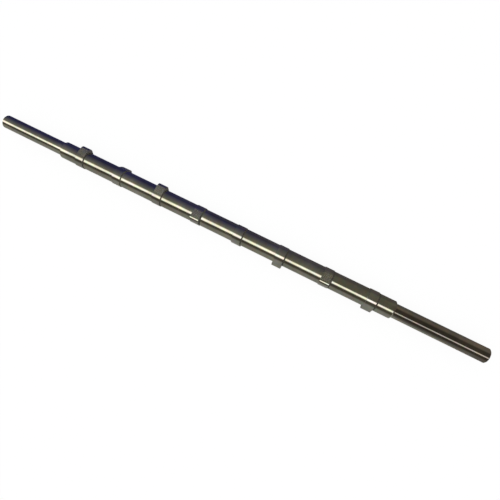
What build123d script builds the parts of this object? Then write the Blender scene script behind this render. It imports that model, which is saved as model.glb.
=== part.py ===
"""Camshaft with eight narrow lobes, turned and ground from one steel bar.

The axis of the shaft is the X axis. The origin lies on it, halfway along the long stub,
and +X points out along that stub. The shaft lies as it rests on a flat surface, with +Z up:
the flanks of two lobes and the back of another touch the surface.
A nose angle is the direction of a lobe's nose about +X, counted from +Y towards +Z.
"""

import os
from math import atan2, cos, degrees, hypot, radians, sin, sqrt, tan

from build123d import *

# Shaft and stubs
body_diameter = 25.0
long_stub_diameter = 20.0
long_stub_length = 127.0
short_stub_diameter = 20.0
short_stub_length = 110.0
shoulder_chamfer = 1.5
stub_end_chamfer = 1.5
stub_root_radius = 0.8

# Lobe stations, counted from the short stub. Two of the gaps between lobes are a little wider.
lobe_pitch = 65.0
wide_gap_extra = 3.0
lobes_before_wide_gaps = [2, 6]
first_lobe_from_shoulder = 35.0
last_lobe_from_shoulder = 31.5
nose_angles = [15.0, 320.0, 20.0, 117.0, 220.0, 190.0, 117.0, 200.0]

# Cam form
base_circle_step = 0.75
cam_lift = 4.5
nose_radius = 5.5
flank_radius = 55.0
lobe_width = 13.5
lobe_edge_break = 0.25
lobe_root_bevel = 0.3

# Centre holes in both ends
centre_pilot_diameter = 4.0
centre_mouth_diameter = 8.5
centre_pilot_depth = 3.0
centre_cone_angle = 60.0
centre_tip_angle = 120.0

# Stations and radii that follow from the sizes
lobe_offsets = [
    number * lobe_pitch + wide_gap_extra * sum(number >= lobes for lobes in lobes_before_wide_gaps)
    for number in range(len(nose_angles))
]
body_length = first_lobe_from_shoulder + lobe_offsets[-1] + last_lobe_from_shoulder
body_radius = body_diameter / 2
long_stub_radius = long_stub_diameter / 2
short_stub_radius = short_stub_diameter / 2
long_end_x = long_stub_length / 2
long_shoulder_x = long_end_x - long_stub_length
short_shoulder_x = long_shoulder_x - body_length
short_end_x = short_shoulder_x - short_stub_length
lobe_stations = [short_shoulder_x + first_lobe_from_shoulder + offset for offset in lobe_offsets]

# Cam outline: nose arc, two flank arcs and base circle, each tangent to the next
base_radius = body_radius + base_circle_step
nose_centre = base_radius + cam_lift - nose_radius
flank_to_base = flank_radius - base_radius
flank_to_nose = flank_radius - nose_radius
flank_centre_x = (nose_centre**2 + flank_to_base**2 - flank_to_nose**2) / (2 * nose_centre)
flank_centre_y = sqrt(flank_to_base**2 - flank_centre_x**2)
nose_end_angle = degrees(atan2(flank_centre_y, nose_centre - flank_centre_x))
flank_end_angle = degrees(atan2(flank_centre_y, -flank_centre_x))
flank_sweep = flank_end_angle - nose_end_angle
base_sweep = 360 - 2 * flank_end_angle

# A shoulder's chamfer and root radius leave some of its flat face
chamfer_share = 0.6
root_share = 0.35
same_place = 0.001


def shoulder_chamfer_at(stub_radius):
    """Chamfer on the body's edge at a stub, no larger than the step there allows."""
    return min(shoulder_chamfer, chamfer_share * (body_radius - stub_radius))


def root_radius_at(stub_radius):
    """Radius in the corner of a shoulder, no larger than the step there allows."""
    return min(stub_root_radius, root_share * (body_radius - stub_radius))


def lobe_plane(station, nose_angle):
    """Plane square to the shaft at a lobe's middle, with its x direction along the nose."""
    nose_direction = (0, cos(radians(nose_angle)), sin(radians(nose_angle)))
    return Plane(origin=(station, 0, 0), x_dir=nose_direction, z_dir=(1, 0, 0))


def centre_hole_section(end_x, inward):
    """Half section of a centre hole: a cone for the lathe centre, then a drilled pilot."""
    mouth_radius = centre_mouth_diameter / 2
    pilot_radius = centre_pilot_diameter / 2
    cone_depth = (mouth_radius - pilot_radius) / tan(radians(centre_cone_angle / 2))
    pilot_end = cone_depth + centre_pilot_depth
    tip_depth = pilot_end + pilot_radius / tan(radians(centre_tip_angle / 2))
    with BuildSketch(Plane.XZ) as section:
        with BuildLine():
            Polyline(
                (end_x, 0),
                (end_x, mouth_radius),
                (end_x + inward * cone_depth, pilot_radius),
                (end_x + inward * pilot_end, pilot_radius),
                (end_x + inward * tip_depth, 0),
                close=True,
            )
        make_face()
    return section.sketch


def edges_at(edges, station, inner, outer):
    """Edges that lie in the plane across the shaft at a station, between two radii."""
    found = []
    for edge in edges:
        start, middle = edge @ 0, edge @ 0.5
        in_plane = max(abs(start.X - station), abs(middle.X - station)) < same_place
        if in_plane and inner - same_place < hypot(middle.Y, middle.Z) < outer + same_place:
            found.append(edge)
    return found


with BuildPart() as camshaft:
    # Bar turned to three diameters, with chamfered shoulders and ends
    short_chamfer = shoulder_chamfer_at(short_stub_radius)
    long_chamfer = shoulder_chamfer_at(long_stub_radius)
    with BuildSketch(Plane.XZ):
        with BuildLine():
            Polyline(
                (short_end_x, 0),
                (short_end_x, short_stub_radius - stub_end_chamfer),
                (short_end_x + stub_end_chamfer, short_stub_radius),
                (short_shoulder_x, short_stub_radius),
                (short_shoulder_x, body_radius - short_chamfer),
                (short_shoulder_x + short_chamfer, body_radius),
                (long_shoulder_x - long_chamfer, body_radius),
                (long_shoulder_x, body_radius - long_chamfer),
                (long_shoulder_x, long_stub_radius),
                (long_end_x - stub_end_chamfer, long_stub_radius),
                (long_end_x, long_stub_radius - stub_end_chamfer),
                (long_end_x, 0),
                close=True,
            )
        make_face()
    revolve(axis=Axis.X)

    # Rounded corner at the root of each stub
    shoulders = ((short_shoulder_x, short_stub_radius), (long_shoulder_x, long_stub_radius))
    for shoulder_x, stub_radius in shoulders:
        root = edges_at(camshaft.edges(), shoulder_x, stub_radius, stub_radius)
        fillet(root, root_radius_at(stub_radius))

    # Lobes, each turned to its own nose angle
    for station, nose_angle in zip(lobe_stations, nose_angles):
        with BuildSketch(lobe_plane(station, nose_angle)):
            with BuildLine():
                CenterArc((nose_centre, 0), nose_radius, -nose_end_angle, 2 * nose_end_angle)
                CenterArc((flank_centre_x, -flank_centre_y), flank_radius, nose_end_angle, flank_sweep)
                CenterArc((0, 0), base_radius, flank_end_angle, base_sweep)
                CenterArc((flank_centre_x, flank_centre_y), flank_radius, -flank_end_angle, flank_sweep)
            make_face()
        extrude(amount=lobe_width / 2, both=True)

    # Broken edges round each lobe and a small bevel left in the corner where it meets the shaft
    for station in lobe_stations:
        for side_x in (station - lobe_width / 2, station + lobe_width / 2):
            chamfer(edges_at(camshaft.edges(), side_x, base_radius, base_radius + cam_lift), lobe_edge_break)
            chamfer(edges_at(camshaft.edges(), side_x, body_radius, body_radius), lobe_root_bevel)

    # Centre holes that hold the shaft while it is turned and ground
    for end_x, inward in ((short_end_x, 1), (long_end_x, -1)):
        revolve(centre_hole_section(end_x, inward), axis=Axis.X, mode=Mode.SUBTRACT)

camshaft.part.label = "camshaft"

os.makedirs("parts", exist_ok=True)
export_step(camshaft.part, "parts/camshaft.step")
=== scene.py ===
from math import atan2, cos, hypot, pi, radians, sin, sqrt, tan

import bmesh
import bpy
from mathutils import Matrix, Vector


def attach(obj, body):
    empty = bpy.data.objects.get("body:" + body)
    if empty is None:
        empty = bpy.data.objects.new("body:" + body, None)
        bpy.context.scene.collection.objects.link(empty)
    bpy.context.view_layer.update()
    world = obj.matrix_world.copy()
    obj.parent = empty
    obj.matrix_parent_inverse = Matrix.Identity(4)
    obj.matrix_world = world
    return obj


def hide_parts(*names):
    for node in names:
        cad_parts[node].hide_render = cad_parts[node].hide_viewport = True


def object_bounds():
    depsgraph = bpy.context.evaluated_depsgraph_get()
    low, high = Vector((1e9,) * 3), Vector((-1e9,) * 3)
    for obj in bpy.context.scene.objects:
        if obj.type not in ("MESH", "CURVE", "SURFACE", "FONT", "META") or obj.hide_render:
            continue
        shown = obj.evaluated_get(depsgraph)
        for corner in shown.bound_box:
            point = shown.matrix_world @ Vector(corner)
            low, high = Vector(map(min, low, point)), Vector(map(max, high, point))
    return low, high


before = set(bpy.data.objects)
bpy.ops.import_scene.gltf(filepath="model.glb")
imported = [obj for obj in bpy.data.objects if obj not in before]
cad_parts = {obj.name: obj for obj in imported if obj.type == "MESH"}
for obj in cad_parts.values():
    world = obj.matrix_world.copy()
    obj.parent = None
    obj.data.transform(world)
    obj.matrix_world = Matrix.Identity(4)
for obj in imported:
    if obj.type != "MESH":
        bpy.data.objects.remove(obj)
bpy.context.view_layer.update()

# Camshaft bar. The real shaft is one steel bar, turned between centres to a thick body with
# a thinner stub at each end. Shoulders and ends are chamfered, each stub has a small radius
# at its root, and both end faces keep the centre holes that held the bar in the lathe.
body_radius = 0.0125
stub_radius = 0.010
long_stub_length = 0.127
short_stub_length = 0.110
body_length = 0.5275
shoulder_chamfer = 0.0015
end_chamfer = 0.0015
stub_root_radius = 0.0008
long_end = long_stub_length / 2
long_shoulder = long_end - long_stub_length
short_shoulder = long_shoulder - body_length
short_end = short_shoulder - short_stub_length

pilot_radius = 0.002
mouth_radius = 0.00425
pilot_depth = 0.003
cone_half_angle = radians(30)
drill_half_angle = radians(60)
cone_depth = (mouth_radius - pilot_radius) / tan(cone_half_angle)
drill_tip = pilot_radius / tan(drill_half_angle)

first_lobe = short_shoulder + 0.035
lobe_offsets = (0, 0.065, 0.133, 0.198, 0.263, 0.328, 0.396, 0.461)
lobe_stations = [first_lobe + offset for offset in lobe_offsets]
lobe_width = 0.0135
lobe_sides = [station + side * lobe_width / 2 for station in lobe_stations for side in (-1, 1)]
# Width of the ring of painted shade beside each cam: a dark band in the place of the corner's
# shade and dark reflection.
shade_ring_width = 0.0018
same_place = 1e-5
flats_round = 360

profile = [
    (short_end + cone_depth + pilot_depth + drill_tip, 0),
    (short_end + cone_depth + pilot_depth, pilot_radius),
    (short_end + cone_depth, pilot_radius),
    (short_end, mouth_radius),
    (short_end, stub_radius - end_chamfer),
    (short_end + end_chamfer, stub_radius),
    (short_shoulder, stub_radius),
    (short_shoulder, body_radius - shoulder_chamfer),
    (short_shoulder + shoulder_chamfer, body_radius),
    *[
        (station + along, body_radius)
        for station in lobe_stations
        for along in (-lobe_width / 2, lobe_width / 2, lobe_width / 2 + shade_ring_width)
    ],
    (long_shoulder - shoulder_chamfer, body_radius),
    (long_shoulder, body_radius - shoulder_chamfer),
    (long_shoulder, stub_radius),
    (long_end - end_chamfer, stub_radius),
    (long_end, stub_radius - end_chamfer),
    (long_end, mouth_radius),
    (long_end - cone_depth, pilot_radius),
    (long_end - cone_depth - pilot_depth, pilot_radius),
    (long_end - cone_depth - pilot_depth - drill_tip, 0),
]

steel = bmesh.new()
section = [steel.verts.new((along, radius, 0)) for along, radius in profile]
outline = [steel.edges.new(pair) for pair in zip(section, section[1:])]
bmesh.ops.spin(
    steel,
    geom=section + outline,
    cent=(0, 0, 0),
    axis=(1, 0, 0),
    dvec=(0, 0, 0),
    angle=2 * pi,
    steps=flats_round,
    use_merge=True,
)
bmesh.ops.remove_doubles(steel, verts=steel.verts, dist=same_place / 10)
bmesh.ops.recalc_face_normals(steel, faces=steel.faces)


def distance_from_axis(vert):
    """How far a point of the shaft lies from its axis."""
    return hypot(vert.co.y, vert.co.z)


def ring_edges(station, inner, outer):
    """Edges that lie across the shaft at a station, between two distances from its axis."""
    return [
        edge
        for edge in steel.edges
        if all(
            abs(vert.co.x - station) < same_place
            and inner - same_place < distance_from_axis(vert) < outer + same_place
            for vert in edge.verts
        )
    ]


def round_off(edges, size, segments):
    """Bevels or rounds a run of edges."""
    bmesh.ops.bevel(
        steel,
        geom=edges,
        offset=size,
        offset_type="OFFSET",
        segments=segments,
        profile=0.5,
        affect="EDGES",
        material=-1,
    )


for shoulder in (short_shoulder, long_shoulder):
    round_off(ring_edges(shoulder, stub_radius, stub_radius), stub_root_radius, 4)

# Cam lobes. Eight cams are left standing when the bar is milled, and are ground to a nose arc,
# two flank arcs and a base circle, each tangent to the next. Each nose points its own way. The
# grinding leaves a small radius at the root, and the sharp rims are broken with a stone.
nose_angles = [15, 320, 20, 117, 220, 190, 117, 200]
base_radius = 0.01325
cam_lift = 0.0045
nose_radius = 0.0055
flank_radius = 0.055
rim_break = 0.00025
root_radius = 0.0003
nose_tip = base_radius + cam_lift
nose_centre = nose_tip - nose_radius
flank_along = (
    nose_centre**2 + (flank_radius - base_radius) ** 2 - (flank_radius - nose_radius) ** 2
) / (2 * nose_centre)
flank_across = -sqrt((flank_radius - base_radius) ** 2 - flank_along**2)
nose_normal = atan2(-flank_across, nose_centre - flank_along)
nose_ends = atan2(nose_radius * sin(nose_normal), nose_centre + nose_radius * cos(nose_normal))
flank_ends = atan2(-flank_across, -flank_along)


def cam_radius(turn):
    """Distance from the shaft's axis to the cam outline, at an angle from the nose."""
    turn = abs((turn + pi) % (2 * pi) - pi)
    if turn > flank_ends:
        return base_radius
    along, across, radius = flank_along, flank_across, flank_radius
    if turn < nose_ends:
        along, across, radius = nose_centre, 0, nose_radius
    towards = along * cos(turn) + across * sin(turn)
    return towards + sqrt(radius**2 - along**2 - across**2 + towards**2)


for station, nose_angle in zip(lobe_stations, nose_angles):
    band = [
        face
        for face in steel.faces
        if abs(face.calc_center_median().x - station) < lobe_width / 2 - same_place
    ]
    grown = bmesh.ops.extrude_face_region(steel, geom=band)["geom"]
    for vert in [part for part in grown if isinstance(part, bmesh.types.BMVert)]:
        turn = atan2(vert.co.z, vert.co.y) - radians(nose_angle)
        vert.co.yz = vert.co.yz * cam_radius(turn) / body_radius
    bmesh.ops.delete(steel, geom=band, context="FACES")
bmesh.ops.recalc_face_normals(steel, faces=steel.faces)

for side in lobe_sides:
    round_off(ring_edges(side, base_radius, nose_tip), rim_break, 2)
    round_off(ring_edges(side, body_radius, body_radius), root_radius, 3)

shaft_finish, flank_finish, side_finish, painted_shade_ring, cam_finish = range(5)
square_on = 0.95
soft_bend = radians(20)
for edge in steel.edges:
    edge.smooth = edge.calc_face_angle(pi) < soft_bend
for face in steel.faces:
    face.smooth = True
    face.material_index = side_finish if abs(face.normal.x) > square_on else shaft_finish
    middle = face.calc_center_median()
    for station, nose_angle in zip(lobe_stations, nose_angles):
        along = middle.x - station
        turn = abs((atan2(middle.z, middle.y) - radians(nose_angle) + pi) % (2 * pi) - pi)
        # Painted shade: the band just beside each cam, towards the long stub, gets the dark ring
        # steel, in the place of the corner's shade and dark reflection.
        beside = lobe_width / 2 < along < lobe_width / 2 + shade_ring_width
        if beside and abs(face.normal.x) < square_on:
            face.material_index = painted_shade_ring
        elif abs(along) < lobe_width / 2 - rim_break:
            dull = nose_ends < turn < flank_ends and face.normal.y > 0
            face.material_index = flank_finish if dull else cam_finish

camshaft_mesh = bpy.data.meshes.new("camshaft")
steel.to_mesh(camshaft_mesh)
steel.free()
camshaft = bpy.data.objects.new("camshaft_ground", camshaft_mesh)
bpy.context.scene.collection.objects.link(camshaft)


# Steel. The shaft is ground and polished, the cams finer than the rest, and both carry a thin
# film of oil in cloudy warm and cool patches. The cam flanks on the far side are duller. Cam
# sides and end faces are turned. A dark ring of painted shade lies beside each cam, towards the
# long stub, in the place of the shade and dark reflection in the corner by the cam.
def put(tree, kind, **values):
    """Adds a node and sets its values by name, in a tree."""
    node = tree.nodes.new(kind)
    for name, value in values.items():
        if name in node.inputs:
            node.inputs[name].default_value = value
        else:
            setattr(node, name, value)
    return node


def tooled_steel(
    name, dark, light, film, smoothest, roughest, line_depth, metal=1.0, facing=False
):
    """Steel with tool lines round the axis and a cloudy oil film. Facing lines are rings."""
    material = bpy.data.materials.new(name)
    material.use_nodes = True
    tree = material.node_tree
    join = tree.links.new
    surface = tree.nodes["Principled BSDF"]
    surface.inputs["Metallic"].default_value = metal
    place = put(tree, "ShaderNodeTexCoord").outputs["Object"]

    clouds = put(tree, "ShaderNodeTexNoise", Scale=38.0, Detail=5.0, Roughness=0.6)
    join(place, clouds.inputs["Vector"])
    tone = put(tree, "ShaderNodeValToRGB")
    tone.color_ramp.elements[0].position = 0.38
    tone.color_ramp.elements[0].color = dark
    tone.color_ramp.elements[1].position = 0.66
    tone.color_ramp.elements[1].color = light
    join(clouds.outputs["Fac"], tone.inputs["Fac"])

    smears = put(tree, "ShaderNodeTexNoise", Scale=9.0, Detail=3.0, Roughness=0.5)
    join(place, smears.inputs["Vector"])
    oil = put(tree, "ShaderNodeMapRange")
    oil.inputs["From Min"].default_value = 0.45
    oil.inputs["From Max"].default_value = 0.75
    oil.inputs["To Max"].default_value = 0.6
    join(smears.outputs["Fac"], oil.inputs["Value"])
    oiled = put(tree, "ShaderNodeMix", data_type="RGBA", blend_type="MIX")
    join(oil.outputs["Result"], oiled.inputs["Factor"])
    join(tone.outputs["Color"], oiled.inputs[6])
    oiled.inputs[7].default_value = film

    tarnish = put(tree, "ShaderNodeTexNoise", Scale=170.0, Detail=3.0, Roughness=0.6)
    join(place, tarnish.inputs["Vector"])
    tints = put(tree, "ShaderNodeMapRange", data_type="FLOAT_VECTOR")
    join(tarnish.outputs["Color"], tints.inputs["Vector"])
    least_noise, most_noise = (0.33, 0.33, 0.33), (0.67, 0.67, 0.67)
    least_tint, most_tint = (0.88, 0.91, 0.85), (1.09, 1.07, 1.10)
    vector_sockets = [socket for socket in tints.inputs if socket.type == "VECTOR"]
    for socket, value in zip(vector_sockets[1:], (least_noise, most_noise, least_tint, most_tint)):
        socket.default_value = value
    tinted = put(tree, "ShaderNodeMix", data_type="RGBA", blend_type="MULTIPLY")
    tinted.inputs["Factor"].default_value = 1.0
    join(oiled.outputs[2], tinted.inputs[6])
    join(tints.outputs["Vector"], tinted.inputs[7])
    join(tinted.outputs[2], surface.inputs["Base Color"])

    gloss = put(tree, "ShaderNodeMapRange")
    gloss.inputs["To Min"].default_value = smoothest
    gloss.inputs["To Max"].default_value = roughest
    join(clouds.outputs["Fac"], gloss.inputs["Value"])
    join(gloss.outputs["Result"], surface.inputs["Roughness"])

    spread = put(tree, "ShaderNodeMapping")
    fine, drawn_out = 3200, 55
    spread.inputs["Scale"].default_value = (
        (0, fine, fine) if facing else (fine, drawn_out, drawn_out)
    )
    join(place, spread.inputs["Vector"])
    lines = put(tree, "ShaderNodeTexNoise", Scale=1.0, Detail=2.0)
    if facing:
        lines.noise_dimensions = "1D"
        ring = put(tree, "ShaderNodeVectorMath", operation="LENGTH")
        join(spread.outputs["Vector"], ring.inputs[0])
        join(ring.outputs["Value"], lines.inputs["W"])
    else:
        join(spread.outputs["Vector"], lines.inputs["Vector"])
    relief = put(tree, "ShaderNodeBump", Strength=line_depth, Distance=0.00002)
    join(lines.outputs["Fac"], relief.inputs["Height"])
    join(relief.outputs["Normal"], surface.inputs["Normal"])
    return material


camshaft_mesh.materials.append(
    tooled_steel(
        "polished_steel",
        dark=(0.40, 0.385, 0.335, 1),
        light=(0.54, 0.52, 0.455, 1),
        film=(0.36, 0.33, 0.265, 1),
        smoothest=0.07,
        roughest=0.15,
        line_depth=0.2,
    )
)
camshaft_mesh.materials.append(
    tooled_steel(
        "cam_flank_steel",
        dark=(0.44, 0.42, 0.345, 1),
        light=(0.58, 0.555, 0.455, 1),
        film=(0.40, 0.36, 0.28, 1),
        smoothest=0.31,
        roughest=0.40,
        line_depth=0.4,
        metal=0.96,
    )
)
camshaft_mesh.materials.append(
    tooled_steel(
        "turned_face_steel",
        dark=(0.18, 0.17, 0.15, 1),
        light=(0.30, 0.285, 0.25, 1),
        film=(0.15, 0.135, 0.105, 1),
        smoothest=0.42,
        roughest=0.55,
        line_depth=0.5,
        metal=0.6,
        facing=True,
    )
)
# Painted shade and dark reflection: dark, dull steel for the ring beside each cam.
camshaft_mesh.materials.append(
    tooled_steel(
        "painted_shade_ring_steel",
        dark=(0.045, 0.042, 0.030, 1),
        light=(0.075, 0.068, 0.05, 1),
        film=(0.045, 0.04, 0.028, 1),
        smoothest=0.5,
        roughest=0.6,
        line_depth=0.5,
        metal=0.3,
    )
)
camshaft_mesh.materials.append(
    tooled_steel(
        "cam_polished_steel",
        dark=(0.42, 0.405, 0.37, 1),
        light=(0.56, 0.54, 0.50, 1),
        film=(0.38, 0.35, 0.30, 1),
        smoothest=0.04,
        roughest=0.08,
        line_depth=0.15,
    )
)

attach(camshaft, "root")
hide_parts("camshaft")

# Floor. The shaft lies on white paper, on the backs and flanks of its cams. Where the paper is
# seen or mirrored, most of its white is a glow of its own, and the rest keeps the soft shadow.
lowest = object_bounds()[0][2]
paper = bmesh.new()
paper_half_width = 4
shaft_middle = -0.27
under_shaft = 0.00002
bmesh.ops.create_grid(paper, x_segments=1, y_segments=1, size=paper_half_width)
bmesh.ops.translate(paper, verts=paper.verts, vec=(shaft_middle, 0, lowest - under_shaft))
floor_mesh = bpy.data.meshes.new("paper_floor")
paper.to_mesh(floor_mesh)
paper.free()
floor = bpy.data.objects.new("paper_floor", floor_mesh)
bpy.context.scene.collection.objects.link(floor)

paper_white = bpy.data.materials.new("paper_white")
paper_white.use_nodes = True
tree = paper_white.node_tree
tree.nodes.clear()
seen = put(tree, "ShaderNodeLightPath")
mirrored = put(tree, "ShaderNodeMath", operation="MAXIMUM")
tree.links.new(seen.outputs["Is Camera Ray"], mirrored.inputs[0])
tree.links.new(seen.outputs["Is Glossy Ray"], mirrored.inputs[1])
looked_at = put(tree, "ShaderNodeMath", operation="MAXIMUM")
tree.links.new(mirrored.outputs[0], looked_at.inputs[0])
tree.links.new(seen.outputs["Is Transmission Ray"], looked_at.inputs[1])
glow_share = 0.93
share = put(tree, "ShaderNodeMath", operation="MULTIPLY")
tree.links.new(looked_at.outputs[0], share.inputs[0])
share.inputs[1].default_value = glow_share
matt = put(tree, "ShaderNodeBsdfDiffuse", Color=(0.9, 0.9, 0.9, 1))
own_glow = put(tree, "ShaderNodeEmission", Color=(1, 1, 1, 1), Strength=1.0)
both = put(tree, "ShaderNodeMixShader")
tree.links.new(share.outputs[0], both.inputs[0])
tree.links.new(matt.outputs[0], both.inputs[1])
tree.links.new(own_glow.outputs[0], both.inputs[2])
result = put(tree, "ShaderNodeOutputMaterial")
tree.links.new(both.outputs[0], result.inputs["Surface"])
floor_mesh.materials.append(paper_white)

# Light tent. Graded cloth stands round the shaft, out of the camera's sight, and gives the
# polished steel something to mirror. The cloth glows on its own and is seen only in the steel, so
# its bands are painted light and shade for the steel's reflections: dark blue on the far side,
# olive overhead, a bright white strip beside the camera, and grey on the near side. It is browner
# by the long stub.
tent_radius = 0.45
tent_ends = (-1.8, 1.0)
tent_flats = 48
tent_strength = 3.0
off_paper = 0.0003
cloth = bmesh.new()
hem = [cloth.verts.new((along, tent_radius, 0)) for along in tent_ends]
hem_edge = cloth.edges.new(hem)
bmesh.ops.spin(
    cloth,
    geom=[*hem, hem_edge],
    cent=(0, 0, 0),
    axis=(1, 0, 0),
    dvec=(0, 0, 0),
    angle=pi,
    steps=tent_flats,
)
for end in tent_ends:
    rim = [
        edge
        for edge in cloth.edges
        if all(abs(vert.co.x - end) < same_place for vert in edge.verts)
    ]
    bmesh.ops.contextual_create(cloth, geom=rim)
low_edges = [
    edge for edge in cloth.edges if all(abs(vert.co.z) < same_place for vert in edge.verts)
]
for edge in low_edges:
    first, last = edge.verts
    if abs(first.co.x - last.co.x) > same_place:
        inner = bmesh.ops.extrude_edge_only(cloth, edges=[edge])["geom"]
        for vert in [part for part in inner if isinstance(part, bmesh.types.BMVert)]:
            vert.co.y = 0
bmesh.ops.translate(cloth, verts=cloth.verts, vec=(0, 0, lowest + off_paper))
tent_mesh = bpy.data.meshes.new("light_tent")
cloth.to_mesh(tent_mesh)
cloth.free()
tent = bpy.data.objects.new("light_tent", tent_mesh)
bpy.context.scene.collection.objects.link(tent)
tent.visible_camera = False
tent.visible_diffuse = False
tent.visible_shadow = False

# Each cloth hangs at an angle round the shaft, in degrees from the far side over the top to the
# near side. The left set hangs by the short stub, and the right one by the long stub.
navy = (0.04, 0.04, 0.12)
slate = (0.15, 0.15, 0.19)
olive = (0.30, 0.30, 0.23)
lit_white = (2.3, 2.3, 2.1)
shadow = (0.10, 0.09, 0.07)
grey = (0.34, 0.34, 0.31)
brown = (0.13, 0.12, 0.11)
moss = (0.165, 0.16, 0.12)
tan_cloth = (0.18, 0.15, 0.13)
umber = (0.06, 0.05, 0.04)
lit_cream = (1.15, 1.05, 1.05)
dim_grey = (0.17, 0.16, 0.15)
left_cloth = [
    (5, navy),
    (48, slate),
    (87, olive),
    (100, lit_white),
    (115, lit_white),
    (125, shadow),
    (146, shadow),
    (166, grey),
]
middle_cloth = [
    (0, brown),
    (20, moss),
    (92, moss),
    (100, lit_white),
    (110, lit_white),
    (121, shadow),
    (146, shadow),
    (168, grey),
]
right_cloth = [
    (25, tan_cloth),
    (48, umber),
    (97, umber),
    (104, lit_cream),
    (109, lit_cream),
    (117, umber),
    (145, umber),
    (166, dim_grey),
]
graded = bpy.data.materials.new("graded_cloth")
graded.use_nodes = True
tree = graded.node_tree
tree.nodes.clear()
place = put(tree, "ShaderNodeTexCoord").outputs["Object"]
apart = put(tree, "ShaderNodeSeparateXYZ")
tree.links.new(place, apart.inputs[0])
height = put(tree, "ShaderNodeMath", operation="SUBTRACT")
tree.links.new(apart.outputs["Z"], height.inputs[0])
height.inputs[1].default_value = lowest
round_angle = put(tree, "ShaderNodeMath", operation="ARCTAN2")
tree.links.new(height.outputs[0], round_angle.inputs[0])
tree.links.new(apart.outputs["Y"], round_angle.inputs[1])
half_turns = put(tree, "ShaderNodeMath", operation="DIVIDE")
tree.links.new(round_angle.outputs[0], half_turns.inputs[0])
half_turns.inputs[1].default_value = pi


def cloth_shade(cloths):
    """Colour of one set of cloths, blended by the angle round the shaft."""
    ramp = put(tree, "ShaderNodeValToRGB")
    while len(ramp.color_ramp.elements) < len(cloths):
        ramp.color_ramp.elements.new(0.5)
    for element, (angle, colour) in zip(ramp.color_ramp.elements, cloths):
        element.position = angle / 180
        element.color = (*[part / tent_strength for part in colour], 1)
    tree.links.new(half_turns.outputs[0], ramp.inputs["Fac"])
    return ramp.outputs["Color"]


shade = cloth_shade(left_cloth)
for cloths, fade_from, fade_to in ((middle_cloth, -0.45, -0.09), (right_cloth, 0.0, 0.075)):
    fade = put(tree, "ShaderNodeMapRange")
    fade.inputs["From Min"].default_value = fade_from
    fade.inputs["From Max"].default_value = fade_to
    tree.links.new(apart.outputs["X"], fade.inputs["Value"])
    blend = put(tree, "ShaderNodeMix", data_type="RGBA")
    tree.links.new(fade.outputs["Result"], blend.inputs["Factor"])
    tree.links.new(shade, blend.inputs[6])
    tree.links.new(cloth_shade(cloths), blend.inputs[7])
    shade = blend.outputs[2]
# The cloth's glow is painted light and shade, seen only in the steel's reflections.
glow = put(tree, "ShaderNodeEmission", Strength=tent_strength)
tree.links.new(shade, glow.inputs["Color"])
result = put(tree, "ShaderNodeOutputMaterial")
tree.links.new(glow.outputs[0], result.inputs["Surface"])
tent_mesh.materials.append(graded)

# Camera. It looks down on the shaft nearly from straight above, from a place fitted to the
# photo's outline, so that the shaft runs from the upper left to the lower right of the frame.
camera_data = bpy.data.cameras.new("camera")
camera_data.lens = 28.8
camera_data.sensor_width = 36
camera_data.clip_start = 0.01
camera = bpy.data.objects.new("camera", camera_data)
camera.location = (-0.18787, 0.03585, 0.55023)
camera.rotation_euler = (radians(-0.7692), radians(9.802), radians(25.8114))
bpy.context.scene.collection.objects.link(camera)
bpy.context.scene.camera = camera

# Light. A soft lamp hangs over the shaft and the room is plain white. The steel doesn't mirror
# the lamp, because its bright stripe comes from the glowing strip of the tent.
lamp_data = bpy.data.lights.new("soft_lamp", "AREA")
lamp_data.shape = "RECTANGLE"
lamp_data.size = 1.2
lamp_data.size_y = 0.8
lamp_data.energy = 4.0
lamp = bpy.data.objects.new("soft_lamp", lamp_data)
lamp.location = (-0.3, -0.1, 1.4)
lamp.visible_glossy = False
bpy.context.scene.collection.objects.link(lamp)

room = bpy.data.worlds.new("room")
room.use_nodes = True
room.node_tree.nodes["Background"].inputs["Color"].default_value = (1, 1, 1, 1)
room.node_tree.nodes["Background"].inputs["Strength"].default_value = 1.0
bpy.context.scene.world = room
bpy.context.scene.view_settings.view_transform = "Standard"
